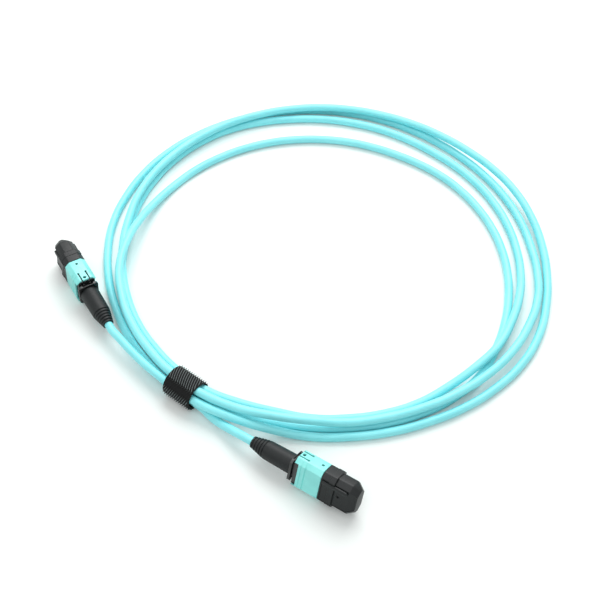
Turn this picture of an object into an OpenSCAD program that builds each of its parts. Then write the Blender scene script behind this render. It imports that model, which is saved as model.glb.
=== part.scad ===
// Two-metre fibre optic patch cord: four loose turns of round cable held by one
// wrap tie, with a push-on multi-fibre plug and its dust cap at each end.
// +Z is up and the cord lies on z = 0. A plug's own frame has +X forward out of
// its nose, +Y across its narrow side and +Z across its wide side, and starts at
// the rear of its strain boot.

/* [Cable] */
// Outer diameter of the cable jacket
cord_d = 3.0; // [2.6:0.1:3.2]
// Clear space between neighbouring strands in the tie
strand_gap = 0.45; // [0.42:0.01:0.6]
// Diameter of the fibre bundle inside the jacket
bundle_d = 1.2; // [0.9:0.1:1.6]
// Width of the fibre ribbon
ribbon_w = 3.05; // [2.6:0.05:3.1]
// Thickness of the fibre ribbon
ribbon_t = 0.32; // [0.25:0.01:0.36]

/* [Wrap tie] */
// Width of the tie along the cable
tie_len = 11.5; // [9:0.5:14]
// Thickness of the strap
tie_strap = 0.5; // [0.4:0.05:0.8]
// Height of the ribs on the strap
tie_rib_h = 0.16; // [0.1:0.02:0.3]
// Number of ribs across the strap
tie_ribs = 12; // [8:1:14]
// Share of the rib pitch that is rib
tie_rib_share = 0.5; // [0.3:0.05:0.7]
// Depth of the flat on which the tie rests
tie_flat = 0.1; // [0.05:0.01:0.2]
// Clearance between the strands and the strap
tie_clear = 0.12; // [0.08:0.01:0.3]

/* [Strain boot] */
// Length of the boot
boot_len = 16.3; // [14:0.1:20]
// Diameter at the rear end
boot_rear_d = 4.0; // [3.9:0.1:4.4]
// Diameter where the rings end
boot_mid_d = 6.5; // [6.4:0.1:6.8]
// Diameter at the front end
boot_front_d = 6.9; // [6.8:0.1:7.2]
// Number of rings
boot_rings = 5; // [3:1:6]
// Distance from ring to ring
boot_pitch = 1.1; // [0.9:0.05:1.2]
// Width of the groove behind each ring
boot_groove_w = 0.35; // [0.2:0.05:0.45]
// Depth of each groove
boot_groove = 0.22; // [0.1:0.02:0.24]

/* [Crimp] */
// Distance from the boot's rear end to the crimp sleeve
sleeve_at = 6.5; // [6:0.1:7]
// Length of the sleeve's small end, on the jacket
sleeve_small_len = 2.8; // [2:0.1:3]
// Length of the sleeve's large end, on the post
sleeve_large_len = 5.9; // [5:0.1:6.5]
// Wall of the sleeve
sleeve_wall = 0.3; // [0.2:0.02:0.32]
// Thickness of the aramid yarn layer
yarn_t = 0.15; // [0.1:0.01:0.2]
// Clearance between nested round pieces
round_clear = 0.05; // [0.03:0.01:0.06]

/* [Spring push] */
// Diameter of the crimp post
post_d = 4.0; // [3.8:0.1:4.1]
// Bore of the crimp post
post_bore = 2.6; // [2:0.1:2.8]
// Length of the crimp post
post_len = 6.7; // [6:0.1:6.8]
// Thickness of the flange
flange_t = 0.9; // [0.7:0.1:1.2]
// Width of the flange, narrow way
flange_w = 7.4; // [6.8:0.1:7.6]
// Height of the flange, wide way
flange_h = 8.4; // [7.6:0.1:8.6]
// Length of the neck in front of the flange
neck_len = 0.6; // [0.5:0.1:0.8]
// Length of the spigot that carries the spring
spigot_len = 4.5; // [4:0.1:4.8]
// Width of the spigot, narrow way
spigot_w = 4.5; // [4.2:0.1:4.6]
// Height of the spigot, wide way
spigot_h = 7.4; // [6.8:0.1:7.5]

/* [Plug frame] */
// Length of the rear block
block_len = 3.0; // [2.8:0.1:3.2]
// How much narrower each side of the nose is than the block, narrow way
nose_step_w = 0.5; // [0.4:0.05:0.55]
// How much lower each side of the nose is than the block, wide way
nose_step_h = 0.35; // [0.3:0.05:0.45]
// Distance from the rear block to the nose tip
nose_len = 15.2; // [15:0.1:15.6]
// Height of the key on the nose
key_h = 0.45; // [0.3:0.05:0.5]
// Width of the key
key_w = 3.0; // [2:0.1:3.4]
// Clearance between flat sliding faces
slide_clear = 0.1; // [0.08:0.01:0.12]

/* [Outer housing] */
// Width of the housing, narrow way
housing_w = 7.65; // [7.5:0.05:7.8]
// Height of the housing, wide way
housing_h = 11.95; // [11.8:0.05:12.3]
// Length of the housing
housing_len = 10.0; // [9.6:0.1:10]
// Wall of the housing's wide sides
housing_wall_w = 0.575; // [0.5:0.025:0.675]
// Wall of the housing's narrow sides
housing_wall_h = 0.625; // [0.575:0.025:0.725]
// Corner chamfer of the housing
housing_chamfer = 1.55; // [1.3:0.05:1.6]
// How far the wide walls are cut back at the rear
housing_cut = 1.5; // [1.4:0.1:1.8]
// How far the housing pulls back to unlatch
housing_travel = 2.0; // [1.5:0.1:2.1]
// Depth of the groove across each wide face
grip_groove = 0.15; // [0.05:0.01:0.25]
// Distance of the groove from the housing's rear end
grip_at = 4.0; // [3:0.1:5]
// Width of the groove
grip_w = 0.45; // [0.3:0.05:0.6]

/* [Ferrule] */
// Width of the ferrule, narrow way
ferrule_w = 2.5; // [2.4:0.05:2.6]
// Height of the ferrule, wide way
ferrule_h = 6.4; // [6.2:0.05:6.5]
// Length of the ferrule
ferrule_len = 8.0; // [7.8:0.1:8]
// Length of the ferrule's shoulder
shoulder_len = 2.0; // [1.6:0.1:2.2]
// How far the shoulder stands out
shoulder_step = 0.3; // [0.2:0.02:0.32]
// Distance between the two guide holes
guide_pitch = 4.6; // [4.5:0.05:4.7]
// Diameter of a guide hole
guide_d = 0.7; // [0.6:0.02:0.72]
// How far the ferrule floats back
ferrule_travel = 0.6; // [0.3:0.1:0.7]

/* [Springs] */
// Outer diameter of the ferrule spring
spring_d = 4.5; // [4.4:0.02:4.54]
// Wire of the ferrule spring
spring_wire = 0.3; // [0.22:0.02:0.3]
// Turns of the ferrule spring
spring_turns = 7; // [5:1:9]
// Outer diameter of a coupling spring
side_spring_d = 1.0; // [0.8:0.05:1.05]
// Wire of a coupling spring
side_spring_wire = 0.2; // [0.14:0.02:0.22]
// Turns of a coupling spring
side_spring_turns = 6; // [5:1:8]
// Length of a coupling spring
side_spring_len = 5.2; // [4.8:0.1:5.4]

/* [Dust cap] */
// Distance from the housing to the cap's front face
cap_len = 12.9; // [12.6:0.1:13.2]
// Length of the skirt behind the raised band
cap_skirt = 2.9; // [2.4:0.1:3.2]
// Length of the raised band
cap_band = 2.1; // [1.6:0.1:2.4]
// How far the band stands out
cap_band_h = 0.13; // [0.08:0.01:0.2]
// How much narrower each side of the front body is than the housing, narrow way
cap_step_w = 0.4; // [0.35:0.05:0.45]
// How much lower each side of the front body is than the housing, wide way
cap_step_h = 0.15; // [0.1:0.05:0.25]
// Depth of the recess along each wide face
cap_recess = 0.25; // [0.1:0.05:0.3]
// Length of the tapered front
cap_taper = 2.6; // [2.2:0.1:2.7]
// How far each side of the front draws in, narrow way
cap_draw_w = 1.175; // [0.9:0.025:1.3]
// How far each side of the front draws in, wide way
cap_draw_h = 1.475; // [1.2:0.025:1.6]

/* [Hidden] */
$fn = 48;
eps = 0.02;
// Depth of cuts that run out through a wall
through = 3;

// Colours
AQUA = [0.55, 0.92, 0.94];
BLACK = [0.16, 0.17, 0.18];
METAL = [0.75, 0.76, 0.78];
FERRULE = [0.20, 0.21, 0.22];
YARN = [0.93, 0.84, 0.45];

// Where each plug lies: rear end of its boot, then roll, pitch and heading
PLUG_A_AT = [-32.5, 18.4, 5.95];
PLUG_A_TURN = [3.5, 0.8, 120.8];
PLUG_B_AT = [19.8, -29.4, 5.7];
PLUG_B_TURN = [-21.5, 2.4, -33.7];

// The coil's centre, and the bearing and radius at which the tie holds it
COIL_AT = [45.2, 54.0];
TIE_BEARING = -128.5;
TIE_RADIUS = 78.5;
// Place round the tie of each pass: tail A, turns 2 to 4, tail B
SLOT_BEARING = [18, 162, 234, 90, 306];
// Heights of the cable's centreline on the floor and on one and two strands.
// A strand on the floor is cut flat by a tenth of its diameter.
floor_z = 0.4 * cord_d;
over_z = floor_z + cord_d + 0.6;
top_z = over_z + cord_d + 0.6;

// Tie: the five passes lie in a ring, with the strap round them
slot_r = (cord_d + strand_gap) / (2 * sin(36));
tie_inner_r = slot_r + cord_d / 2 + tie_clear;
tie_outer_r = tie_inner_r + tie_strap;
tie_z = tie_outer_r - tie_flat;
tie_reach = tie_len / 2 + 0.5;
tie_turn = atan(tie_reach / TIE_RADIUS);
function slot_radius(k) = TIE_RADIUS + slot_r * cos(SLOT_BEARING[k]);
function slot_z(k) = tie_z + slot_r * sin(SLOT_BEARING[k]);

// Each turn's distance from the coil's centre: degrees past the tie, then the distance
TURN_RADIUS = [
    [[10, slot_radius(0)], [24, 79.6], [38, 79.2], [60, 80.2], [80, 82.5], [97, 83.9], [115, 82.6],
     [150, 79.9], [180, 77.3], [195, 77.1], [225, 78], [255, 78.7], [278, 78.6], [300, 76.8],
     [325, 75.8], [352, slot_radius(1)]],
    [[8, slot_radius(1)], [22, 72.6], [38, 72.1], [60, 72.5], [75, 72.3], [88, 74], [104, 73.2],
     [120, 72.3], [150, 71], [178, 70.2], [200, 71.9], [225, 74.9], [258, 79], [266, 79],
     [280, 78.3], [305, 76.5], [352, slot_radius(2)]],
    [[8, slot_radius(2)], [28, 75.7], [48, 76], [60, 76.6], [76, 76.4], [92, 73.2], [110, 69.4],
     [135, 65.7], [165, 62.6], [192, 60.8], [215, 61.9], [250, 65.8], [280, 70.2], [300, 72.8],
     [320, 77.2], [345, slot_radius(3)]],
    [[8, slot_radius(3)], [35, 76], [52, 75.9], [72, 77.2], [95, 79.2], [110, 79.4], [135, 77.2],
     [172, 75.8], [210, 78.5], [245, 82], [278, 84], [295, 83.6], [315, 81.6], [335, 80.3],
     [352, slot_radius(4)]]];
// Where each turn changes height: degrees past the tie, then the height.
// Turn 2 comes down inside turn 3 and crosses over it; turn 4 lies over both
TURN_CLIMB = [
    [[12, slot_z(0)], [34, floor_z], [110, floor_z], [155, over_z], [335, over_z], [352, slot_z(1)]],
    [[8, slot_z(1)], [36, floor_z], [67, floor_z], [82, over_z], [106, over_z], [132, floor_z],
     [338, floor_z], [355, slot_z(2)]],
    [[5, slot_z(2)], [18, floor_z], [275, floor_z], [312, top_z], [340, top_z], [352, slot_z(3)]],
    [[5, slot_z(3)], [20, top_z - 0.6], [50, over_z], [95, over_z], [135, floor_z], [330, floor_z],
     [352, slot_z(4)]]];

// Sections of the frame and the cap that follow the housing
block_w = housing_w - 2 * (housing_wall_w + slide_clear);
block_h = housing_h - 2 * (housing_wall_h + slide_clear);
nose_w = block_w - 2 * nose_step_w;
nose_h = block_h - 2 * nose_step_h;
cap_body_w = housing_w - 2 * cap_step_w;
cap_body_h = housing_h - 2 * cap_step_h;
cap_face_w = cap_body_w - 2 * cap_draw_w;
cap_face_h = cap_body_h - 2 * cap_draw_h;

// Stations along a plug, from the rear end of its boot
jacket_end = sleeve_at + sleeve_small_len - 0.1;
post_at = boot_len - post_len;
flange_at = boot_len;
neck_at = flange_at + flange_t;
frame_at = neck_at + neck_len;
nose_at = frame_at + block_len;
nose_tip = nose_at + nose_len;
spigot_end = frame_at + spigot_len;
housing_at = frame_at + 0.2;
housing_end = housing_at + housing_len;
ferrule_tip = nose_tip + 0.6;
ferrule_at = ferrule_tip - ferrule_len;
keeper_t = 1.2;
keeper_at = ferrule_at - keeper_t;
cap_at = housing_end + slide_clear;
cap_end = cap_at + cap_len;

// Cavity that holds spigot, spring and ferrule
cavity_w = spigot_w + 2 * slide_clear;
cavity_h = spigot_h + 2 * slide_clear;
shoulder_w = ferrule_w + shoulder_step * 2;
shoulder_h = ferrule_h + shoulder_step * 2;
stop_at = ferrule_at + shoulder_len + slide_clear;
// Ferrule boot and the ribbon slot in it
ribbon_clear = 0.04;
boot_slot_t = ribbon_t + 2 * ribbon_clear;
boot_slot_w = ribbon_w + 2 * ribbon_clear;
rubber_t = 1.2;
rubber_w = guide_pitch - guide_d - 0.4;
rubber_len = 4.2;
rubber_in = 1.0;
// Coupling springs, just inside the housing's narrow walls, and their side channels
side_spring_gap = 0.15;
side_spring_z = block_h / 2 + slide_clear - side_spring_gap - side_spring_d / 2;
channel_floor = side_spring_z - side_spring_d / 2 - 0.1;
channel_w = side_spring_d + 0.3;
lug_at = nose_at + side_spring_len;
lug_t = 0.6;
// Hook on the housing's tab and the shoulder that stops it
hook_t = 0.5;
hook_w = 2.5;
hook_h = 0.45;
tab_half = 1.4;
tab_slot_w = 0.3;
tab_slot_len = 3.6;
housing_in_w = block_w + 2 * slide_clear;
housing_in_h = block_h + 2 * slide_clear;

// ---------- helpers ----------
function ease(t) = let (u = min(max(t, 0), 1)) u * u * (3 - 2 * u);
function unit(v) = v / norm(v);

// Direction of a plug's +X, and a point on its axis
function plug_dir(turn) = [cos(turn[2]) * cos(turn[1]), sin(turn[2]) * cos(turn[1]), sin(turn[1])];
function plug_point(at, turn, x) = at + x * plug_dir(turn);

// Places its children in a plug's frame
module on_plug(at, turn) {
    translate(at) rotate([turn[0], -turn[1], turn[2]]) children();
}
module on_a() {
    on_plug(PLUG_A_AT, PLUG_A_TURN) children();
}
module on_b() {
    on_plug(PLUG_B_AT, PLUG_B_TURN) children();
}

// Rectangle w by h with chamfered corners
module chamfered(w, h, c) {
    x = w / 2;
    y = h / 2;
    polygon([[x - c, y], [-x + c, y], [-x, y - c], [-x, -y + c],
             [-x + c, -y], [x - c, -y], [x, -y + c], [x, y - c]]);
}

// Bar from x0 to x1 with a chamfered section, w along Y and h along Z
module bar(x0, x1, w, h, c) {
    translate([x0, 0, 0])
        rotate([90, 0, 90])
            linear_extrude(x1 - x0)
                chamfered(w, h, c);
}

// Plain box from x0 to x1, w along Y and h along Z, centred on the axis
module block(x0, x1, w, h) {
    translate([x0, -w / 2, -h / 2])
        cube([x1 - x0, w, h]);
}

// Cylinder along X from x0 to x1
module rod(x0, x1, d) {
    translate([x0, 0, 0])
        rotate([0, 90, 0])
            cylinder(h = x1 - x0, d = d);
}

// Solid of revolution about X from an outline of [x, radius] points
module turned(outline) {
    rotate([0, 90, 0])
        rotate_extrude()
            polygon([for (p = outline) [p[1], p[0]]]);
}

// ---------- tubes along a path ----------
// Ring of a tube: a polygon of the given sides, square to the path, cut flat below
function ring(p, dir, r, sides, flat) =
    let (side = unit(cross(dir, [0, 0, 1])), up = cross(side, dir))
    [for (i = [0:sides - 1])
        let (a = 360 * (i + 0.5) / sides)
        p + side * r * cos(a) + up * max(r * sin(a), -flat)];

function path_dir(path, i) =
    i == 0 ? unit(path[1] - path[0])
    : i == len(path) - 1 ? unit(path[i] - path[i - 1])
    : unit(unit(path[i + 1] - path[i]) + unit(path[i] - path[i - 1]));

function tube_faces(rings, sides) = concat(
    [for (i = [1:sides - 2]) [0, i, i + 1]],
    [for (i = [1:sides - 2]) [(rings - 1) * sides, (rings - 1) * sides + i + 1, (rings - 1) * sides + i]],
    [for (k = [0:rings - 2], i = [0:sides - 1])
        let (a = k * sides + i, b = k * sides + (i + 1) % sides)
        [a, b + sides, b]],
    [for (k = [0:rings - 2], i = [0:sides - 1])
        let (a = k * sides + i, b = k * sides + (i + 1) % sides)
        [a, a + sides, b + sides]]);

module tube(path, d, sides, flat) {
    points = [for (i = [0:len(path) - 1]) each ring(path[i], path_dir(path, i), d / 2, sides, flat)];
    polyhedron(points, tube_faces(len(path), sides));
}

// Helical spring along X from x0 to x1, six sides and eight rings a turn
module spring(x0, x1, d, wire, turns) {
    steps = turns * 8;
    r = (d - wire) / 2;
    lead = (x1 - x0 - wire * 1.2) / 360 / turns;
    path = [for (i = [0:steps])
        let (a = 360 * i / 8)
        [x0 + wire * 0.6 + lead * a, r * cos(a), r * sin(a)]];
    points = [for (i = [0:steps])
        let (a = 360 * i / 8,
             dir = unit([lead * 180 / PI, -r * sin(a), r * cos(a)]),
             out = [0, cos(a), sin(a)],
             along = cross(dir, out))
        for (j = [0:5])
            path[i] + (out * cos(60 * j) - along * sin(60 * j)) * wire / 2];
    polyhedron(points, tube_faces(steps + 1, 6));
}

// ---------- the cable's route ----------
tie_dir = [-sin(TIE_BEARING), cos(TIE_BEARING), 0];
function coil_point(a, r, z) =
    [COIL_AT[0] + r * cos(TIE_BEARING + a), COIL_AT[1] + r * sin(TIE_BEARING + a), z];
function slot_point(k, along) = coil_point(0, slot_radius(k), slot_z(k)) + tie_dir * along;

// Slope at a knot of a list: none at the ends and where the list turns back
function knot_slope(knots, i) =
    i == 0 || i == len(knots) - 1 ? 0
    : let (p = knots[i - 1], q = knots[i], r = knots[i + 1],
           m = (q[1] - p[1]) / (q[0] - p[0]),
           n = (r[1] - q[1]) / (r[0] - q[0]))
      m * n <= 0 ? 0 : 2 * m * n / (m + n);
// Smooth curve through a list of knots, without overshoot
function through(knots, a) =
    a <= knots[0][0] ? knots[0][1]
    : a >= knots[len(knots) - 1][0] ? knots[len(knots) - 1][1]
    : [for (i = [1:len(knots) - 1])
        let (p = knots[i - 1], q = knots[i])
        if (a > p[0] && a <= q[0])
            let (h = q[0] - p[0], t = (a - p[0]) / h, u = 1 - t)
            p[1] * (1 + 2 * t) * u * u + knot_slope(knots, i - 1) * h * t * u * u
            + q[1] * t * t * (3 - 2 * t) - knot_slope(knots, i) * h * t * t * u][0];
function climb(steps, a) =
    a <= steps[0][0] ? steps[0][1]
    : a >= steps[len(steps) - 1][0] ? steps[len(steps) - 1][1]
    : [for (i = [1:len(steps) - 1])
        let (p = steps[i - 1], q = steps[i])
        if (a > p[0] && a <= q[0]) p[1] + (q[1] - p[1]) * ease((a - p[0]) / (q[0] - p[0]))][0];

COIL_TURNS = 4;
LOOP_RINGS = 24;
coil_path = concat(
    [slot_point(0, 0), slot_point(0, cord_d)],
    [for (k = [0:COIL_TURNS - 1])
        each concat(
            [slot_point(k, tie_reach)],
            [for (i = [1:LOOP_RINGS - 2])
                let (a = tie_turn + (360 - 2 * tie_turn) * i / (LOOP_RINGS - 1))
                coil_point(a, through(TURN_RADIUS[k], a), climb(TURN_CLIMB[k], a))],
            [slot_point(k + 1, -tie_reach)])],
    [slot_point(COIL_TURNS, -cord_d), slot_point(COIL_TURNS, 0)]);

// Tails: from the jacket's end in the boot to the middle of the tie
TAIL_A_POINTS = [[-28.3, 12.7, 5.9], [-24.0, 7.6, 6.0], [-19.0, 2.2, 6.0], [-14.6, -2.0, 6.0]];
TAIL_B_POINTS = [[5.6, -18.0, 2.7], [9.6, -21.6, 3.4], [13.4, -24.8, 4.7]];
tail_a_path = concat(
    [plug_point(PLUG_A_AT, PLUG_A_TURN, jacket_end), PLUG_A_AT, plug_point(PLUG_A_AT, PLUG_A_TURN, -cord_d)],
    TAIL_A_POINTS,
    [slot_point(0, -tie_reach), slot_point(0, 0)]);
tail_b_path = concat(
    [slot_point(COIL_TURNS, 0), slot_point(COIL_TURNS, tie_reach), slot_point(COIL_TURNS, tie_reach + cord_d)],
    TAIL_B_POINTS,
    [plug_point(PLUG_B_AT, PLUG_B_TURN, -cord_d), PLUG_B_AT, plug_point(PLUG_B_AT, PLUG_B_TURN, jacket_end)]);

// Least gap of the coil to itself, measured between points half a turn or more apart
coil_gap = min([for (i = [0:len(coil_path) - 1], j = [i + 12:1:len(coil_path) - 1])
    norm(coil_path[i] - coil_path[j])]) - cord_d;
echo(coil_least_gap = coil_gap);

module cable_coil() {
    color(AQUA) tube(coil_path, cord_d, 6, floor_z);
}

module cable_tail_a() {
    color(AQUA) tube(tail_a_path, cord_d, 8, cord_d);
}

module cable_tail_b() {
    color(AQUA) tube(tail_b_path, cord_d, 8, cord_d);
}

// Wrap tie: a strap wound round the five passes, ribbed except where it rests
module cable_tie() {
    pitch = tie_len / tie_ribs;
    color(BLACK)
        translate(coil_point(0, TIE_RADIUS, tie_z))
            rotate([0, 0, TIE_BEARING + 90])
                difference() {
                    union() {
                        rod(-tie_len / 2, tie_len / 2, 2 * tie_outer_r);
                        for (i = [0:tie_ribs - 1])
                            translate([-tie_len / 2 + pitch * (i + 0.5 - tie_rib_share / 2), 0, 0])
                                rotate([0, 90, 0])
                                    cylinder(h = pitch * tie_rib_share, r = tie_outer_r + tie_rib_h);
                    }
                    rod(-tie_len, tie_len, 2 * tie_inner_r);
                    translate([-tie_len, -tie_outer_r, -2 * tie_outer_r - tie_z])
                        cube([2 * tie_len, 2 * tie_outer_r, 2 * tie_outer_r]);
                }
}

// ---------- plug pieces, each in the plug's frame ----------
sleeve_small_r = cord_d / 2 + round_clear;
sleeve_large_r = post_d / 2 + 2 * round_clear + yarn_t;
sleeve_step = sleeve_at + sleeve_small_len;
sleeve_end = sleeve_step + sleeve_large_len;

module strain_boot() {
    small_r = sleeve_small_r + sleeve_wall + round_clear;
    large_r = sleeve_large_r + sleeve_wall + round_clear;
    ring_step = (boot_mid_d - boot_rear_d) / 2 / boot_rings;
    color(BLACK) difference() {
        turned(concat(
            [[0, 0]],
            [for (i = [0:boot_rings - 1])
                let (x = boot_pitch * i, r = boot_rear_d / 2 + ring_step * i)
                each [[x, r], [x + boot_pitch - boot_groove_w, r + ring_step / 2],
                      [x + boot_pitch - boot_groove_w, r + ring_step / 2 - boot_groove],
                      [x + boot_pitch, r + ring_step / 2 - boot_groove]]],
            [[boot_pitch * boot_rings, boot_mid_d / 2], [boot_len, boot_front_d / 2], [boot_len, 0]]));
        rod(-1, sleeve_at, 2 * sleeve_small_r);
        rod(sleeve_at - round_clear, sleeve_step, 2 * small_r);
        rod(sleeve_step - sleeve_wall - round_clear, boot_len + 1, 2 * large_r);
    }
}

module crimp_sleeve() {
    color(METAL)
        turned([[sleeve_at, sleeve_small_r], [sleeve_step, sleeve_small_r],
                [sleeve_step, sleeve_large_r], [sleeve_end, sleeve_large_r],
                [sleeve_end, sleeve_large_r + sleeve_wall],
                [sleeve_step - sleeve_wall, sleeve_large_r + sleeve_wall],
                [sleeve_step - sleeve_wall, sleeve_small_r + sleeve_wall],
                [sleeve_at, sleeve_small_r + sleeve_wall]]);
}

module aramid_yarn() {
    inner = post_d / 2 + round_clear;
    color(YARN) difference() {
        rod(post_at + 0.3, sleeve_end - 0.2, 2 * (inner + yarn_t));
        rod(post_at, sleeve_end, 2 * inner);
    }
}

// Latch on the spigot, and the window for it in the frame
latch_at = frame_at + 1.9;
latch_len = 0.6;
latch_w = 2.2;

module spring_push() {
    neck_w = spigot_w + 0.6;
    neck_h = spigot_h - 1.0;
    flange_chamfer = 0.8;
    ribbon_bore = ribbon_w + 0.4;
    color(BLACK) difference() {
        union() {
            rod(post_at, flange_at + eps, post_d);
            bar(flange_at, neck_at, flange_w, flange_h, flange_chamfer);
            bar(neck_at - eps, frame_at, neck_w, neck_h, flange_chamfer);
            bar(frame_at - eps, spigot_end, spigot_w, spigot_h, 0.4);
            block(latch_at, latch_at + latch_len, block_w - 0.3, latch_w);
        }
        rod(post_at - 1, flange_at, post_bore);
        rod(flange_at - eps, spigot_end + 1, ribbon_bore);
        for (i = [1:4])
            turned([[post_at + i * 1.2, post_d / 2 - 0.1], [post_at + i * 1.2 + 0.4, post_d / 2 - 0.1],
                    [post_at + i * 1.2 + 0.4, post_d], [post_at + i * 1.2, post_d]]);
    }
}

module plug_frame() {
    window_gap = slide_clear;
    notch_floor = housing_in_h / 2 - hook_h - slide_clear;
    color(BLACK) difference() {
        union() {
            bar(frame_at, nose_at, block_w, block_h, 0.8);
            bar(nose_at - eps, nose_tip, nose_w, nose_h, 0.5);
            translate([cap_at, 0, -key_w / 2])
                cube([cap_skirt, nose_w / 2 + key_h, key_w]);
        }
        block(frame_at - 1, stop_at, cavity_w, cavity_h);
        block(stop_at - eps, nose_tip + 1, ferrule_w + 2 * slide_clear, ferrule_h + 2 * slide_clear);
        block(latch_at - window_gap, latch_at + latch_len + window_gap, block_w + 1, latch_w + 2 * window_gap);
        for (side = [-1, 1]) scale([1, 1, side]) {
            translate([nose_at, -channel_w / 2, channel_floor])
                cube([lug_at + lug_t + 0.6 - nose_at, channel_w, nose_h]);
            translate([frame_at - 1, -hook_w / 2 - 0.1, notch_floor])
                cube([1 + housing_at + hook_t + slide_clear - frame_at, hook_w + 0.2, block_h]);
        }
    }
}

module outer_housing() {
    lug_w = side_spring_d + 0.1;
    lug_floor = channel_floor + slide_clear;
    tab_hole_at = housing_at + hook_t + 0.1;
    color(AQUA) difference() {
        union() {
            difference() {
                bar(housing_at, housing_end, housing_w, housing_h, housing_chamfer);
                bar(housing_at - 1, housing_end + 1, housing_in_w, housing_in_h, 0.85);
            }
            for (side = [-1, 1]) scale([1, 1, side]) {
                translate([lug_at, -lug_w / 2, lug_floor])
                    cube([lug_t, lug_w, housing_in_h / 2 + eps - lug_floor]);
                translate([housing_at, -hook_w / 2, housing_in_h / 2 - hook_h])
                    cube([hook_t, hook_w, hook_h + eps]);
            }
        }
        block(housing_at - 1, housing_at + housing_cut, housing_w + 1, flange_h + 0.6);
        for (side = [-1, 1]) scale([1, 1, side]) {
            for (y = [-tab_half, tab_half]) {
                translate([housing_at - 1, y - tab_slot_w / 2, housing_in_h / 2 - 0.6])
                    cube([1 + tab_slot_len, tab_slot_w, through]);
                translate([housing_at + tab_slot_len, y, housing_in_h / 2 - 0.6])
                    cylinder(h = through, d = tab_slot_w * 1.7);
            }
            translate([tab_hole_at, -0.65, housing_in_h / 2 - 0.01])
                cube([0.9, 1.3, through]);
            translate([housing_end - 1.8, 0, housing_h / 2 - 0.3])
                cylinder(h = 1, d = 0.65);
        }
        for (side = [-1, 1]) scale([1, side, 1])
            translate([housing_at + grip_at, housing_w / 2 - grip_groove, -housing_h / 2])
                cube([grip_w, 1, housing_h]);
    }
}

module coupling_springs() {
    color(METAL)
        for (side = [-1, 1])
            translate([0, 0, side * side_spring_z])
                spring(nose_at, lug_at, side_spring_d, side_spring_wire, side_spring_turns);
}

module ferrule() {
    color(FERRULE) difference() {
        union() {
            block(ferrule_at, ferrule_tip, ferrule_w, ferrule_h);
            block(ferrule_at, ferrule_at + shoulder_len, shoulder_w, shoulder_h);
        }
        for (z = [-guide_pitch / 2, guide_pitch / 2])
            translate([0, 0, z])
                rod(ferrule_at - 1, ferrule_tip + 1, guide_d);
        block(ferrule_at - 1, ferrule_at + rubber_in + 0.1, rubber_t + 0.1, rubber_w + 0.1);
        block(ferrule_at, ferrule_tip - 1.6, boot_slot_t, boot_slot_w);
        translate([ferrule_at + shoulder_len + 0.9, 0, -ribbon_w / 2])
            cube([2.5, ferrule_w, ribbon_w]);
    }
}

module ferrule_boot() {
    color(BLACK) difference() {
        bar(ferrule_at + rubber_in - rubber_len, ferrule_at + rubber_in, rubber_t, rubber_w, 0.2);
        block(ferrule_at - 2 * rubber_len, ferrule_tip, boot_slot_t, boot_slot_w);
    }
}

module pin_keeper() {
    color(METAL) difference() {
        block(keeper_at, ferrule_at, shoulder_w - 0.1, shoulder_h - 0.2);
        block(keeper_at - 1, ferrule_at + 1, rubber_t + 0.3, rubber_w + 0.3);
    }
}

module ferrule_spring() {
    color(METAL) spring(spigot_end, keeper_at, spring_d, spring_wire, spring_turns);
}

module fibre_ribbon() {
    ribbon_at = flange_at + 1.0;
    color(AQUA) {
        rod(jacket_end, ribbon_at, bundle_d);
        block(ribbon_at - 0.3, ferrule_tip - 1.7, ribbon_t, ribbon_w);
    }
}

// Cutter for one wide face of the cap: from height y0 and half width z0 at x0
// to y1 and z1 at x1, along the face's own slope
module face_cut(x0, x1, y0, y1, z0, z1) {
    slope = atan((y0 - y1) / (x1 - x0));
    run = (x1 - x0) / cos(slope);
    translate([x0, y0, 0])
        rotate([-90, 0, -slope])
            linear_extrude(through)
                polygon([[-0.2, -z0], [0, -z0], [run, -z1], [run, z1], [0, z0], [-0.2, z0]]);
}

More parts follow.
